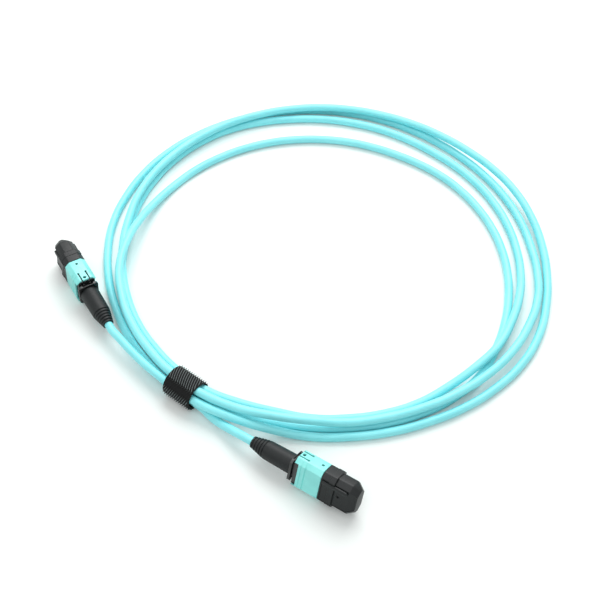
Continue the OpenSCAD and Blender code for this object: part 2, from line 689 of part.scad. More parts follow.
module dust_cap() {
    fit_w = nose_w + 2 * slide_clear;
    fit_h = nose_h + 2 * slide_clear;
    band_at = cap_at + cap_skirt;
    body_at = band_at + cap_band;
    taper_at = cap_end - cap_taper;
    body_chamfer = 1.7;
    face_z = cap_body_h / 2 - body_chamfer;
    front_z = cap_face_h / 2 - body_chamfer;
    face_y = cap_body_w / 2 - cap_recess;
    skirt_y = housing_w / 2 - 0.2;
    rib_w = 1.4;
    rib_z = 3.0;
    rib_top = housing_w / 2 + cap_band_h;
    rib_end = taper_at - 0.4 - rib_w / 2;
    dimple_d = 1.0;
    color(BLACK) difference() {
        union() {
            difference() {
                union() {
                    bar(cap_at, band_at + eps, housing_w, housing_h, housing_chamfer);
                    bar(band_at, body_at, housing_w + 2 * cap_band_h, housing_h + 2 * cap_band_h, housing_chamfer);
                    bar(body_at - eps, taper_at + eps, cap_body_w, cap_body_h, body_chamfer);
                    hull() {
                        bar(taper_at, taper_at + eps, cap_body_w, cap_body_h, body_chamfer);
                        bar(cap_end - eps, cap_end, cap_face_w, cap_face_h, body_chamfer);
                    }
                }
                for (side = [-1, 1]) scale([1, side, 1]) {
                    face_cut(cap_at + 0.5, band_at, skirt_y, skirt_y, face_z, face_z);
                    face_cut(band_at, body_at, skirt_y + cap_band_h, skirt_y + cap_band_h, face_z, face_z);
                    face_cut(body_at + 0.2, taper_at + eps, face_y, face_y, face_z, face_z);
                    face_cut(taper_at, cap_end - 0.3, face_y, cap_face_w / 2 - cap_recess + 0.1, face_z, front_z);
                }
            }
            for (side = [-1, 1]) scale([1, side, 1]) {
                translate([cap_at + 0.3, face_y - 0.15, rib_z - rib_w / 2])
                    cube([rib_end - cap_at - 0.3, rib_top - face_y + 0.15, rib_w]);
                translate([rib_end, rib_top, rib_z])
                    rotate([90, 0, 0])
                        cylinder(h = rib_top - face_y + 0.15, d = rib_w);
            }
        }
        block(cap_at - 1, nose_tip + slide_clear, fit_w, fit_h);
        translate([cap_at - 1, 0, -key_w / 2 - slide_clear])
            cube([1 + cap_skirt + slide_clear, nose_w / 2 + key_h + slide_clear, key_w + 2 * slide_clear]);
        block(cap_at, ferrule_tip + 1.6, ferrule_w + 0.3, ferrule_h + 0.4);
        for (side = [-1, 1])
            translate([body_at + 1.7, side * (face_y + 0.35), 0])
                sphere(d = dimple_d);
    }
}

// ---------- the model ----------
cable_tail_a();
cable_coil();
cable_tail_b();
cable_tie();
on_a() strain_boot();  // strain_boot_a
on_a() crimp_sleeve();  // crimp_sleeve_a
on_a() aramid_yarn();  // aramid_yarn_a
on_a() spring_push();  // spring_push_a
on_a() plug_frame();  // plug_frame_a
on_a() outer_housing();  // outer_housing_a
on_a() coupling_springs();  // coupling_springs_a
on_a() ferrule();  // ferrule_a
on_a() ferrule_boot();  // ferrule_boot_a
on_a() pin_keeper();  // pin_keeper_a
on_a() ferrule_spring();  // ferrule_spring_a
on_a() fibre_ribbon();  // fibre_ribbon_a
on_a() dust_cap();  // dust_cap_a
on_b() strain_boot();  // strain_boot_b
on_b() crimp_sleeve();  // crimp_sleeve_b
on_b() aramid_yarn();  // aramid_yarn_b
on_b() spring_push();  // spring_push_b
on_b() plug_frame();  // plug_frame_b
on_b() outer_housing();  // outer_housing_b
on_b() coupling_springs();  // coupling_springs_b
on_b() ferrule();  // ferrule_b
on_b() ferrule_boot();  // ferrule_boot_b
on_b() pin_keeper();  // pin_keeper_b
on_b() ferrule_spring();  // ferrule_spring_b
on_b() fibre_ribbon();  // fibre_ribbon_b
on_b() dust_cap();  // dust_cap_b
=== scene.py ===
import math
import random

import bmesh
import bpy
from mathutils import Matrix, Vector


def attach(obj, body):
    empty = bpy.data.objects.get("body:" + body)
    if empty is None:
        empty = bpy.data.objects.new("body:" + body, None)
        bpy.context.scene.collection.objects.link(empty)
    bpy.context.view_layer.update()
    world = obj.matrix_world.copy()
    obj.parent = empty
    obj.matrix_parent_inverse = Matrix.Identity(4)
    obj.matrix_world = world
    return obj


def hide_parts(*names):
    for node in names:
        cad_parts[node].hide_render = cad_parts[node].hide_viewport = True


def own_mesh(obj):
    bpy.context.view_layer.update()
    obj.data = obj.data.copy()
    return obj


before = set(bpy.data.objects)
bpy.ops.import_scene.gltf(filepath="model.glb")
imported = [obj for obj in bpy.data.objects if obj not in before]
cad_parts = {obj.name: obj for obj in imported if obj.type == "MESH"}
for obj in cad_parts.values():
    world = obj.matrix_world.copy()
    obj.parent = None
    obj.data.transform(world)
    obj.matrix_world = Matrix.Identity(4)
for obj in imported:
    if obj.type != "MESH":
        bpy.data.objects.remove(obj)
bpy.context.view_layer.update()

MM = 0.001
bpy.context.scene.view_settings.view_transform = "Standard"


# ---------- camera ----------
CAMERA_AT = Vector((35.2, -221.5, 327.0)) * MM
LOOKS_AT = Vector((35.2, 34.0, 0.0)) * MM
LENS_MM = 68.0
SENSOR_MM = 36.0


def place_camera():
    lens = bpy.data.cameras.new("studio_camera")
    lens.lens = LENS_MM
    lens.sensor_width = SENSOR_MM
    lens.clip_start = 0.01
    lens.clip_end = 20.0
    camera = bpy.data.objects.new("studio_camera", lens)
    bpy.context.collection.objects.link(camera)
    camera.location = CAMERA_AT
    camera.rotation_mode = "QUATERNION"
    camera.rotation_quaternion = (LOOKS_AT - CAMERA_AT).to_track_quat("-Z", "Y")
    bpy.context.scene.camera = camera


place_camera()

# ---------- route of the cord, in millimetres as in the part's source ----------
CORD_D = 3.0
STRAND_GAP = 0.45
TIE_LEN = 11.5
TIE_STRAP = 0.5
TIE_FLAT = 0.1
TIE_CLEAR = 0.12
# The jacket's end and the middle of the boot's rings, from the rear of a boot
JACKET_END = 9.2
RINGS_MIDDLE = 4.0

# Each plug: the rear of its boot, then its roll, pitch and heading in degrees
PLUG_A_AT = Vector((-32.5, 18.4, 5.95))
PLUG_A_TURN = (3.5, 0.8, 120.8)
PLUG_B_AT = Vector((19.8, -29.4, 5.7))
PLUG_B_TURN = (-21.5, 2.4, -33.7)

# Coil: its middle, the tie's bearing and distance from there, and the five slots' bearings in it
COIL_AT = (45.2, 54.0)
TIE_BEARING = -128.5
TIE_RADIUS = 78.5
SLOT_BEARING = (18, 162, 234, 90, 306)

# Heights of the centreline: on the floor, over one strand and over two, and the least that is drawn
CROSSING_GAP = 0.6
FLOOR_Z = 0.4 * CORD_D
OVER_Z = FLOOR_Z + CORD_D + CROSSING_GAP
TOP_Z = OVER_Z + CORD_D + CROSSING_GAP
LEAST_Z = CORD_D / 2 + 0.1
SLOT_R = (CORD_D + STRAND_GAP) / (2 * math.sin(math.radians(36)))
TIE_INNER_R = SLOT_R + CORD_D / 2 + TIE_CLEAR
TIE_OUTER_R = TIE_INNER_R + TIE_STRAP
TIE_Z = TIE_OUTER_R - TIE_FLAT
TIE_REACH = TIE_LEN / 2 + 0.5
TIE_TURN = math.degrees(math.atan(TIE_REACH / TIE_RADIUS))


def cos(degrees):
    return math.cos(math.radians(degrees))


def sin(degrees):
    return math.sin(math.radians(degrees))


def ease(t):
    u = min(max(t, 0.0), 1.0)
    return u * u * (3 - 2 * u)


def slot_radius(k):
    return TIE_RADIUS + SLOT_R * cos(SLOT_BEARING[k])


def slot_z(k):
    return TIE_Z + SLOT_R * sin(SLOT_BEARING[k])


# Each turn's distance from the coil's centre, at degrees past the tie
TURN_RADIUS = (
    ((10, slot_radius(0)), (24, 79.6), (38, 79.2), (60, 80.2), (80, 82.5), (97, 83.9), (115, 82.6),
     (150, 79.9), (180, 77.3), (195, 77.1), (225, 78), (255, 78.7), (278, 78.6), (300, 76.8),
     (325, 75.8), (352, slot_radius(1))),
    ((8, slot_radius(1)), (22, 72.6), (38, 72.1), (60, 72.5), (75, 72.3), (88, 74), (104, 73.2),
     (120, 72.3), (150, 71), (178, 70.2), (200, 71.9), (225, 74.9), (258, 79), (266, 79),
     (280, 78.3), (305, 76.5), (352, slot_radius(2))),
    ((8, slot_radius(2)), (28, 75.7), (48, 76), (60, 76.6), (76, 76.4), (92, 73.2), (110, 69.4),
     (135, 65.7), (165, 62.6), (192, 60.8), (215, 61.9), (250, 65.8), (280, 70.2), (300, 72.8),
     (320, 77.2), (345, slot_radius(3))),
    ((8, slot_radius(3)), (35, 76), (52, 75.9), (72, 77.2), (95, 79.2), (110, 79.4), (135, 77.2),
     (172, 75.8), (210, 78.5), (245, 82), (278, 84), (295, 83.6), (315, 81.6), (335, 80.3),
     (352, slot_radius(4))),
)
# Where each turn changes height, at degrees past the tie
TURN_CLIMB = (
    ((12, slot_z(0)), (34, FLOOR_Z), (110, FLOOR_Z), (155, OVER_Z), (335, OVER_Z),
     (352, slot_z(1))),
    ((8, slot_z(1)), (36, FLOOR_Z), (67, FLOOR_Z), (82, OVER_Z), (106, OVER_Z), (132, FLOOR_Z),
     (338, FLOOR_Z), (355, slot_z(2))),
    ((5, slot_z(2)), (18, FLOOR_Z), (275, FLOOR_Z), (312, TOP_Z), (340, TOP_Z), (352, slot_z(3))),
    ((5, slot_z(3)), (20, TOP_Z - CROSSING_GAP), (50, OVER_Z), (95, OVER_Z), (135, FLOOR_Z),
     (330, FLOOR_Z), (352, slot_z(4))),
)
TAIL_A_POINTS = ((-28.3, 12.7, 5.9), (-24.0, 7.6, 6.0), (-19.0, 2.2, 6.0), (-14.6, -2.0, 6.0))
TAIL_B_POINTS = ((5.6, -18.0, 2.7), (9.6, -21.6, 3.4), (13.4, -24.8, 4.7))
TIE_DIR = Vector((-sin(TIE_BEARING), cos(TIE_BEARING), 0.0))
TURN_POINTS = 36


def plug_point(at, turn, x):
    """Point on a plug's axis, x from the rear of its boot."""
    _, pitch, heading = turn
    return at + x * Vector((cos(heading) * cos(pitch), sin(heading) * cos(pitch), sin(pitch)))


def coil_point(a, r, z):
    bearing = TIE_BEARING + a
    return Vector((COIL_AT[0] + r * cos(bearing), COIL_AT[1] + r * sin(bearing), z))


def slot_point(k, along):
    return coil_point(0, slot_radius(k), slot_z(k)) + TIE_DIR * along


def knot_slope(knots, i):
    """Slope at a knot: none at the ends and where the list turns back."""
    if i in (0, len(knots) - 1):
        return 0.0
    before, here, after = knots[i - 1], knots[i], knots[i + 1]
    m = (here[1] - before[1]) / (here[0] - before[0])
    n = (after[1] - here[1]) / (after[0] - here[0])
    return 0.0 if m * n <= 0 else 2 * m * n / (m + n)


def through(knots, a):
    """Smooth curve through a list of knots, without overshoot."""
    if a <= knots[0][0]:
        return knots[0][1]
    for i in range(1, len(knots)):
        p, q = knots[i - 1], knots[i]
        if a <= q[0]:
            h = q[0] - p[0]
            t = (a - p[0]) / h
            u = 1 - t
            return (p[1] * (1 + 2 * t) * u * u + knot_slope(knots, i - 1) * h * t * u * u
                    + q[1] * t * t * (3 - 2 * t) - knot_slope(knots, i) * h * t * t * u)
    return knots[-1][1]


def climb(steps, a):
    if a <= steps[0][0]:
        return steps[0][1]
    for (a0, z0), (a1, z1) in zip(steps, steps[1:]):
        if a <= a1:
            return z0 + (z1 - z0) * ease((a - a0) / (a1 - a0))
    return steps[-1][1]


def cord_route():
    """Centreline from the jacket's end in boot A, through four turns, to boot B."""
    route = [plug_point(PLUG_A_AT, PLUG_A_TURN, x)
             for x in (JACKET_END, RINGS_MIDDLE, 0.0, -CORD_D)]
    route += [Vector(p) for p in TAIL_A_POINTS]
    for k in range(4):
        route += [slot_point(k, along) for along in (-TIE_REACH, 0.0, TIE_REACH)]
        for i in range(1, TURN_POINTS):
            a = TIE_TURN + (360 - 2 * TIE_TURN) * i / TURN_POINTS
            route.append(coil_point(a, through(TURN_RADIUS[k], a), climb(TURN_CLIMB[k], a)))
    route += [slot_point(4, along)
              for along in (-TIE_REACH, 0.0, TIE_REACH, TIE_REACH + CORD_D)]
    route += [Vector(p) for p in TAIL_B_POINTS]
    route += [plug_point(PLUG_B_AT, PLUG_B_TURN, x)
              for x in (-CORD_D, 0.0, RINGS_MIDDLE, JACKET_END)]
    return [Vector((p.x, p.y, max(p.z, LEAST_Z))) * MM for p in route]


# ---------- finishes ----------
def linear(hex_colour):
    """Linear RGBA of an sRGB hex colour."""
    channels = [int(hex_colour[i:i + 2], 16) / 255 for i in (0, 2, 4)]
    return [c / 12.92 if c <= 0.04045 else ((c + 0.055) / 1.055) ** 2.4 for c in channels] + [1.0]


def add(tree, kind, values=None, links=None, **settings):
    """Adds a shader node with its settings, socket values and incoming links."""
    made = tree.nodes.new("ShaderNode" + kind)
    for name, value in settings.items():
        setattr(made, name, value)
    for name, value in (values or {}).items():
        made.inputs[name].default_value = value
    for name, socket in (links or {}).items():
        tree.links.new(socket, made.inputs[name])
    return made


# Ends of the ranges over which the two colours change, a speck's edge fades, specks are let in
# and the painted highlight rises on the loops' tips
DRIFT_ENDS = (0.35, 0.65)
SPECK_EDGE = (0.10, 0.28)
SPECKS_FEW = (0.56, 0.66)
TIP_HIGHLIGHT_RISES = (0.3, 0.95)


def finish(name, light, dark, mottle_mm, grain_mm, grain_depth_mm, roughness, roughness_swing,
           speck=None, speck_mm=0.3, tip_highlight=None, **surface):
    """A moulded, drawn or woven finish: two close colours that drift over the piece,
    sparse specks of lint or filler, a fine grain in the bump and a slower drift in the gloss."""
    material = bpy.data.materials.new(name)
    material.use_nodes = True
    tree = material.node_tree
    tree.nodes.clear()
    place = add(tree, "TexCoord").outputs["Object"]
    drift = add(tree, "TexNoise", {"Scale": 1000 / mottle_mm, "Detail": 3.0}, {"Vector": place})
    ramp = add(tree, "ValToRGB", links={"Fac": drift.outputs["Fac"]})
    for stop, end, shade in zip(ramp.color_ramp.elements, DRIFT_ENDS, (dark, light)):
        stop.position = end
        stop.color = linear(shade)
    colour = ramp.outputs["Color"]
    laid_over = []
    if speck:
        cells = add(tree, "TexVoronoi", {"Scale": 1000 / speck_mm, "Randomness": 1.0},
                    {"Vector": place})
        near = add(tree, "MapRange",
                   {"From Min": SPECK_EDGE[0], "From Max": SPECK_EDGE[1],
                    "To Min": 1.0, "To Max": 0.0},
                   {"Value": cells.outputs["Distance"]})
        thin = add(tree, "TexNoise", {"Scale": 400 / speck_mm, "Detail": 1.0}, {"Vector": place})
        few = add(tree, "MapRange", {"From Min": SPECKS_FEW[0], "From Max": SPECKS_FEW[1]},
                  {"Value": thin.outputs["Fac"]})
        both = add(tree, "Math", operation="MULTIPLY",
                   links={0: near.outputs["Result"], 1: few.outputs["Result"]})
        laid_over.append((both.outputs["Value"], speck))
    # Where asked, the loops' tips are paler by how high each loop stands: a painted highlight on
    # the crests, partly also their worn, linty ends
    if tip_highlight:
        raised = add(tree, "Attribute", attribute_name="loop_tip")
        share = add(tree, "MapRange", {"From Min": TIP_HIGHLIGHT_RISES[0], "From Max": TIP_HIGHLIGHT_RISES[1]},
                    {"Value": raised.outputs["Fac"]})
        laid_over.append((share.outputs["Result"], tip_highlight))
    for share, shade in laid_over:
        mixed = add(tree, "Mix", links={"Factor": share}, data_type="RGBA")
        mixed.inputs[7].default_value = linear(shade)  # 6, 7 and output 2 are the colour sockets
        tree.links.new(colour, mixed.inputs[6])
        colour = mixed.outputs[2]
    gloss = add(tree, "MapRange",
                {"To Min": roughness - roughness_swing, "To Max": roughness + roughness_swing},
                {"Value": drift.outputs["Fac"]})
    grain = add(tree, "TexNoise", {"Scale": 1000 / grain_mm, "Detail": 2.0}, {"Vector": place})
    relief = add(tree, "Bump", {"Strength": 0.6, "Distance": grain_depth_mm * MM},
                 {"Height": grain.outputs["Fac"]})
    shader = add(tree, "BsdfPrincipled", surface,
                 {"Base Color": colour, "Roughness": gloss.outputs["Result"],
                  "Normal": relief.outputs["Normal"]})
    add(tree, "OutputMaterial", links={"Surface": shader.outputs["BSDF"]})
    return material


FINISHES = {
    # Low-smoke zero-halogen sheath, extruded: satin, with the faint ripple that
    # the die leaves every few millimetres and a fine matt skin
    "jacket_aqua": finish("extruded_lszh_jacket", "8EEFF5", "86E9F0", 7.0, 0.45, 0.014, 0.42, 0.05,
                          **{"IOR": 1.5, "Specular IOR Level": 0.6}),
    # Polyester moulded in a lightly spark-eroded tool: even colour, soft gloss
    "housing_aqua": finish("moulded_pbt_aqua", "8AE9E4", "82E2DD", 4.0, 0.20, 0.010, 0.36, 0.05,
                           **{"IOR": 1.57, "Specular IOR Level": 0.6}),
    # Thermoplastic elastomer, moulded: charcoal, dull, with paler lint on it; its faint cyan cast
    # is painted light bounced from the aqua cord
    "boot_black": finish("moulded_tpe_charcoal", "161B1C", "121617", 3.0, 0.22, 0.016, 0.50, 0.06,
                         speck="343A3B", speck_mm=0.4, **{"IOR": 1.5, "Specular IOR Level": 0.31}),
    # Polyetherimide, moulded: near black and a little glossier than the boot; its faint cyan cast
    # is painted light bounced from the aqua cord
    "plug_black": finish("moulded_pei_black", "111415", "0D1010", 3.0, 0.20, 0.008, 0.36, 0.05,
                         **{"IOR": 1.63}),
    # Soft polyethylene, moulded: charcoal with a waxy sheen and lint; its faint cyan cast is
    # painted light bounced from the aqua cord
    "cap_black": finish("moulded_ldpe_charcoal", "161B1C", "121617", 3.0, 0.26, 0.014, 0.40, 0.06,
                        speck="343A3B", speck_mm=0.4, **{"IOR": 1.51, "Specular IOR Level": 0.31}),
    # Glass-filled polyphenylene sulphide, moulded and ground: fine grey filler shows
    "ferrule_black": finish("ground_pps_ferrule", "2A2C2E", "222426", 2.0, 0.12, 0.004, 0.36, 0.04,
                            speck="4A4D50", speck_mm=0.25, **{"IOR": 1.65}),
    # Stainless spring wire and stamped strip, drawn and rolled bright
    "steel": finish("drawn_stainless_wire", "C6C8CA", "BDBFC2", 2.0, 0.10, 0.002, 0.25, 0.05,
                    **{"Metallic": 1.0}),
    # Aramid yarn, laid lengthwise: straw yellow, silky
    "yarn": finish("laid_aramid_yarn", "EFD873", "E2C85F", 0.6, 0.08, 0.020, 0.60, 0.05,
                   **{"IOR": 1.64}),
    # Acrylate-coated glass ribbon: clear gloss over aqua ink
    "fibre": finish("coated_fibre_ribbon", "8FE3E8", "86DBE1", 3.0, 0.20, 0.004, 0.30, 0.05,
                    **{"IOR": 1.5}),
    # Nylon hook-and-loop strap, woven with a brushed loop face: black, dull and
    # hairy. The yarn grain is drawn three times as coarse as its 0.05 mm. The loops' tips are
    # paler: a painted highlight where the crests catch the light, partly also their worn, linty
    # ends
    "tie_black": finish("woven_nylon_loop_strap", "0B0C0D", "060707", 0.7, 0.15, 0.060, 0.72, 0.08,
                        speck="3A3E3E", speck_mm=0.3, tip_highlight="7E8686",
                        **{"IOR": 1.5, "Specular IOR Level": 0.2, "Sheen Weight": 0.03,
                           "Sheen Roughness": 0.5}),
}


# ---------- mesh work ----------
def plug_matrix(at, turn):
    """From a plug's own millimetres to the shared frame's metres."""
    roll, pitch, heading = (math.radians(angle) for angle in turn)
    return (Matrix.Translation(at * MM) @ Matrix.Rotation(heading, 4, "Z")
            @ Matrix.Rotation(-pitch, 4, "Y") @ Matrix.Rotation(roll, 4, "X") @ Matrix.Scale(MM, 4))


PLUGS = {"a": plug_matrix(PLUG_A_AT, PLUG_A_TURN), "b": plug_matrix(PLUG_B_AT, PLUG_B_TURN)}


def new_object(name, bm, crease):
    """Object from a bmesh, smooth apart from the edges sharper than crease degrees."""
    bmesh.ops.recalc_face_normals(bm, faces=bm.faces)
    for edge in bm.edges:
        edge.smooth = len(edge.link_faces) != 2 or edge.calc_face_angle(0.0) < math.radians(crease)
    for face in bm.faces:
        face.smooth = True
    mesh = bpy.data.meshes.new(name)
    bm.to_mesh(mesh)
    bm.free()
    made = bpy.data.objects.new(name, mesh)
    bpy.context.collection.objects.link(made)
    return made


def fit(piece, slot, body, *nodes):
    """Gives a piece its finish, the body that it rides on and the nodes that it stands for."""
    piece.data.materials.clear()
    piece.data.materials.append(FINISHES[slot])
    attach(piece, body)
    if nodes:
        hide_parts(*nodes)
    return piece


def rounded(corners, steps=3):
    """Closed outline through (y, z, radius) corners, each turned on a short curve."""
    outline = []
    for i, (y, z, r) in enumerate(corners):
        here = Vector((y, z))
        before, after = (Vector(corners[j % len(corners)][:2]) for j in (i - 1, i + 1))
        into, out = before - here, after - here
        start = here + into * min(0.5, r / max(into.length, 1e-6))
        end = here + out * min(0.5, r / max(out.length, 1e-6))
        for s in range(steps + 1):
            t = s / steps
            outline.append(start * (1 - t) ** 2 + here * 2 * t * (1 - t) + end * t * t)
    return outline


# A recess's wall leans by its lead, and its inner corner is turned on a short curve
RECESS_LEAD = 0.04
RECESS_CORNER = 0.06


def section(w, h, cy, cz, recess=0.0, corner=0.25, lip=0.1):
    """Chamfered section, w across y and h across z, whose wide faces may be recessed."""
    y, z = w / 2, h / 2
    up = [(y - cy, z, corner), (y, z - cz, lip if recess else corner),
          (y - recess, z - cz - RECESS_LEAD, RECESS_CORNER)]
    down = up[::-1]
    return rounded(down + [(-a, b, r) for a, b, r in up]
                   + [(-a, -b, r) for a, b, r in down] + [(a, -b, r) for a, b, r in up])


def arc(x, y, rx, ry, start=0, end=360, step=20):
    """Points round (x, y), in degrees from start up to end."""
    return [(x + rx * cos(b), y + ry * sin(b)) for b in range(start, end, step)]


def ring(bm, points, to_world):
    """Row of vertices at points given in a piece's own millimetres."""
    return [bm.verts.new(to_world @ Vector(p)) for p in points]


def skin(bm, rows, loop=False):
    """Faces between rows of equal count, capped at both ends or joined into a loop."""
    pairs = list(zip(rows, rows[1:]))
    if loop:
        pairs.append((rows[-1], rows[0]))
    else:
        bm.faces.new(rows[0])
        bm.faces.new(rows[-1])
    for here, there in pairs:
        for j in range(len(here)):
            k = (j + 1) % len(here)
            bm.faces.new((here[j], here[k], there[k], there[j]))


def loft(rings, to_world, loop=False):
    """Bmesh skinned over (x, outline) rings."""
    bm = bmesh.new()
    skin(bm, [ring(bm, [(x, y, z) for y, z in outline], to_world) for x, outline in rings], loop)
    return bm


def prism(bm, outline, z0, z1, to_world):
    """Adds an upright prism over an (x, y) outline from z0 to z1, as a cutter."""
    skin(bm, [ring(bm, [(x, y, z) for x, y in outline], to_world) for z in (z0, z1)])


def cut(bm, cutter, name):
    """Bmesh less a cutter, by an exact boolean."""
    body, tool = new_object(name, bm, 30), new_object(name + "_cutter", cutter, 30)
    modifier = body.modifiers.new("cut", "BOOLEAN")
    modifier.object = tool
    modifier.solver = "EXACT"
    evaluated = body.evaluated_get(bpy.context.evaluated_depsgraph_get())
    result = bmesh.new()
    result.from_mesh(evaluated.to_mesh())
    evaluated.to_mesh_clear()
    for scrap in (body, tool):
        mesh = scrap.data
        bpy.data.objects.remove(scrap)
        bpy.data.meshes.remove(mesh)
    return result


def turned(profile, sides, to_world):
    """Solid of revolution about x from a closed loop of (x, radius) points."""
    turns = [360 * j / sides for j in range(sides)]
    return loft([(x, [(r * cos(b), r * sin(b)) for b in turns]) for x, r in profile],
                to_world, loop=True)


# ---------- cord ----------
def lay_cord():
    line = bpy.data.curves.new("cord_jacket", "CURVE")
    line.dimensions = "3D"
    line.bevel_depth = CORD_D / 2 * MM
    line.bevel_resolution = 6
    line.resolution_u = 6
    line.use_fill_caps = True
    spline = line.splines.new("BEZIER")
    route = cord_route()
    spline.bezier_points.add(len(route) - 1)
    for point, place in zip(spline.bezier_points, route):
        point.co = place
        point.handle_left_type = point.handle_right_type = "AUTO"
    cord = bpy.data.objects.new("cord_jacket", line)
    bpy.context.collection.objects.link(cord)
    line.materials.append(FINISHES["jacket_aqua"])
    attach(cord, "root")
    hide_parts("cable_tail_a", "cable_coil", "cable_tail_b")


lay_cord()


# ---------- wrap tie ----------
TIE_RIBS = 13
RIB_STEPS = 9
WRAP_SIDES = 240
# How far the loops stand, the share of the rib pitch that they take and how they rise to a crest
TOOTH = 0.54
TOOTH_SHARE = 0.52
CREST_RISE = 1.3
LOOP_HEIGHTS = (0.78, 1.06)
# The ribs run along the tie by this share of the way round, at the loops' middle height, and
# turn back behind it
SLANT = 0.415
LOOP_MIDDLE = 0.3
TURNS_BACK_AT = 300.0
# Degrees round the tie, from its outer side over the top: the free end's seam, and where the
# face past it starts to fade, is smooth, starts to rise and is full again
SEAM_AT = 118.0
SEAM_WIDTH = 1.6
SEAM_DEPTH = 0.1
RUBBED = (120.0, 136.0, 143.0, 168.0)
UNDER_SEAM = 0.50
RUBBED_TO = 0.10
PLAIN_END = 0.45
# The strap's face, the free end's overlap and how long it fades, and the slack below the bundle
STRAP_SINK = 0.12
OVERLAP = 0.22
OVERLAP_FADES = 300
SLACK = 0.42
SLACK_AT = 208.0
SLACK_SPREAD = 38
# The tie's rims, as (set in from the end, drop), and the inner rim and clearance from the floor
RIM = ((0.06, 0.16), (0.0, 0.06))
INNER_RIM = 0.1
FLOOR_CLEAR = 0.02


def rib_shift(around):
    """How far a rib has run along the tie: it slants one way under the seam and back behind."""
    along = math.radians(1) * (TIE_OUTER_R + LOOP_MIDDLE) * SLANT
    beyond = (around - SEAM_AT) % 360
    back = TURNS_BACK_AT - SEAM_AT
    return -along * beyond if beyond < back else along * (beyond - 2 * back)


def rib_stands(around):
    """Share of its full height that a rib stands: low where the strap is rubbed smooth."""
    fade, smooth, rise, full = RUBBED
    if not SEAM_AT < around < full:
        return 1.0
    if around < smooth:
        return UNDER_SEAM - (UNDER_SEAM - RUBBED_TO) * ease((around - fade) / (smooth - fade))
    return RUBBED_TO + (1 - RUBBED_TO) * ease((around - rise) / (full - rise))


def strap_face(around):
    """Radius of the strap's face between its ribs."""
    past_seam = (around - SEAM_AT) % 360
    r = TIE_OUTER_R - STRAP_SINK + SLACK * math.exp(-((around - SLACK_AT) / SLACK_SPREAD) ** 2)
    if past_seam > SEAM_WIDTH:
        return r + OVERLAP * (1 - ease(past_seam / OVERLAP_FADES))
    return r - SEAM_DEPTH


def wind_tie():
    """Hook-and-loop strap wound round the five passes. Thirteen slanting ribs of loops stand
    on it, the free end stops in a seam on top, and past the seam the face is rubbed smooth."""
    draw = random.Random(7)
    heights = [[draw.uniform(*LOOP_HEIGHTS) for _ in range(WRAP_SIDES)] for _ in range(TIE_RIBS)]
    to_world = (Matrix.Translation(coil_point(0, TIE_RADIUS, TIE_Z) * MM)
                @ Matrix.Rotation(math.radians(TIE_BEARING + 90), 4, "Z") @ Matrix.Scale(MM, 4))
    pitch = TIE_LEN / TIE_RIBS
    half = TIE_LEN / 2
    steps = TIE_RIBS * RIB_STEPS
    turns = [360 * j / WRAP_SIDES for j in range(WRAP_SIDES)]
    stations = [(-half + inward, drop) for inward, drop in RIM]
    stations += [(-half + TIE_LEN * (i + 0.5) / steps, None) for i in range(steps)]
    stations += [(half - inward, drop) for inward, drop in RIM[::-1]]
    bm = bmesh.new()
    # Each vertex keeps how high its loop stands, which the finish uses to paint a highlight on the
    # crests
    tip = bm.verts.layers.float.new("loop_tip")
    rows = []
    for x, drop in stations:
        row = []
        for j, around in enumerate(turns):
            r, high = strap_face(around), 0.0
            if drop is None:
                rib, phase = divmod((x + half - rib_shift(around)) / pitch, 1.0)
                crest = ease(CREST_RISE * (1 - abs(2 * phase - 1) / TOOTH_SHARE))
                crest *= ease((half - abs(x)) / PLAIN_END)
                high = crest * rib_stands(around) * heights[int(rib) % TIE_RIBS][j]
                r += TOOTH * high
            else:
                r -= drop
            z = max(r * sin(around), -TIE_Z + FLOOR_CLEAR)
            vert = bm.verts.new(to_world @ Vector((x, r * cos(around), z)))
            vert[tip] = high
            row.append(vert)
        rows.append(row)
    bore = [(TIE_INNER_R * cos(around), TIE_INNER_R * sin(around)) for around in turns]
    for x in (half - INNER_RIM, -half + INNER_RIM):
        rows.append(ring(bm, [(x, y, z) for y, z in bore], to_world))
    skin(bm, rows, loop=True)
    fit(new_object("loop_strap_tie", bm, 65), "tie_black", "root", "cable_tie")


wind_tie()

# ---------- plugs ----------
# Boot: its length, the rings' number and spacing, the first ring's radius, how much each next
# one grows and how deep the grooves are
BOOT_LEN = 16.3
BOOT_RINGS = 5
RING_PITCH = 1.1
BOOT_REAR_R = 2.0
RING_GROWS = 0.25
GROOVE_DEPTH = 0.30
# Flange: the notch between the corners of each narrow edge
NOTCH_X = (16.4, 17.6)
NOTCH_HALF_W = 2.1
NOTCH_FLOOR = 3.62
# Housing: outside and inside, with the wide walls cut back at the rear
HOUSING_AT, HOUSING_END = 18.0, 28.0
HOUSING_W, HOUSING_H, HOUSING_C = 7.65, 11.95, 1.55
HOUSING_IN_W, HOUSING_IN_H, HOUSING_IN_C = 6.5, 10.7, 0.85
CUT_BACK = 1.5
CUT_BACK_HALF_H = 4.5
# Tab: the two slots that free it, each with a round end, and its window; then the key dot
TAB_SLOT_LEN = 3.6
TAB_HALF_W = 1.4
TAB_SLOT_HALF_W = 0.25
TAB_SLOT_END_R = 0.42
WINDOW_AT = 1.1
WINDOW_R = (0.55, 0.66)
KEY_DOT_AT = 1.8
KEY_DOT_R = 0.48
# Heights between which the cutters pass through a narrow wall
WALL_CUT = (4.9, 7.0)
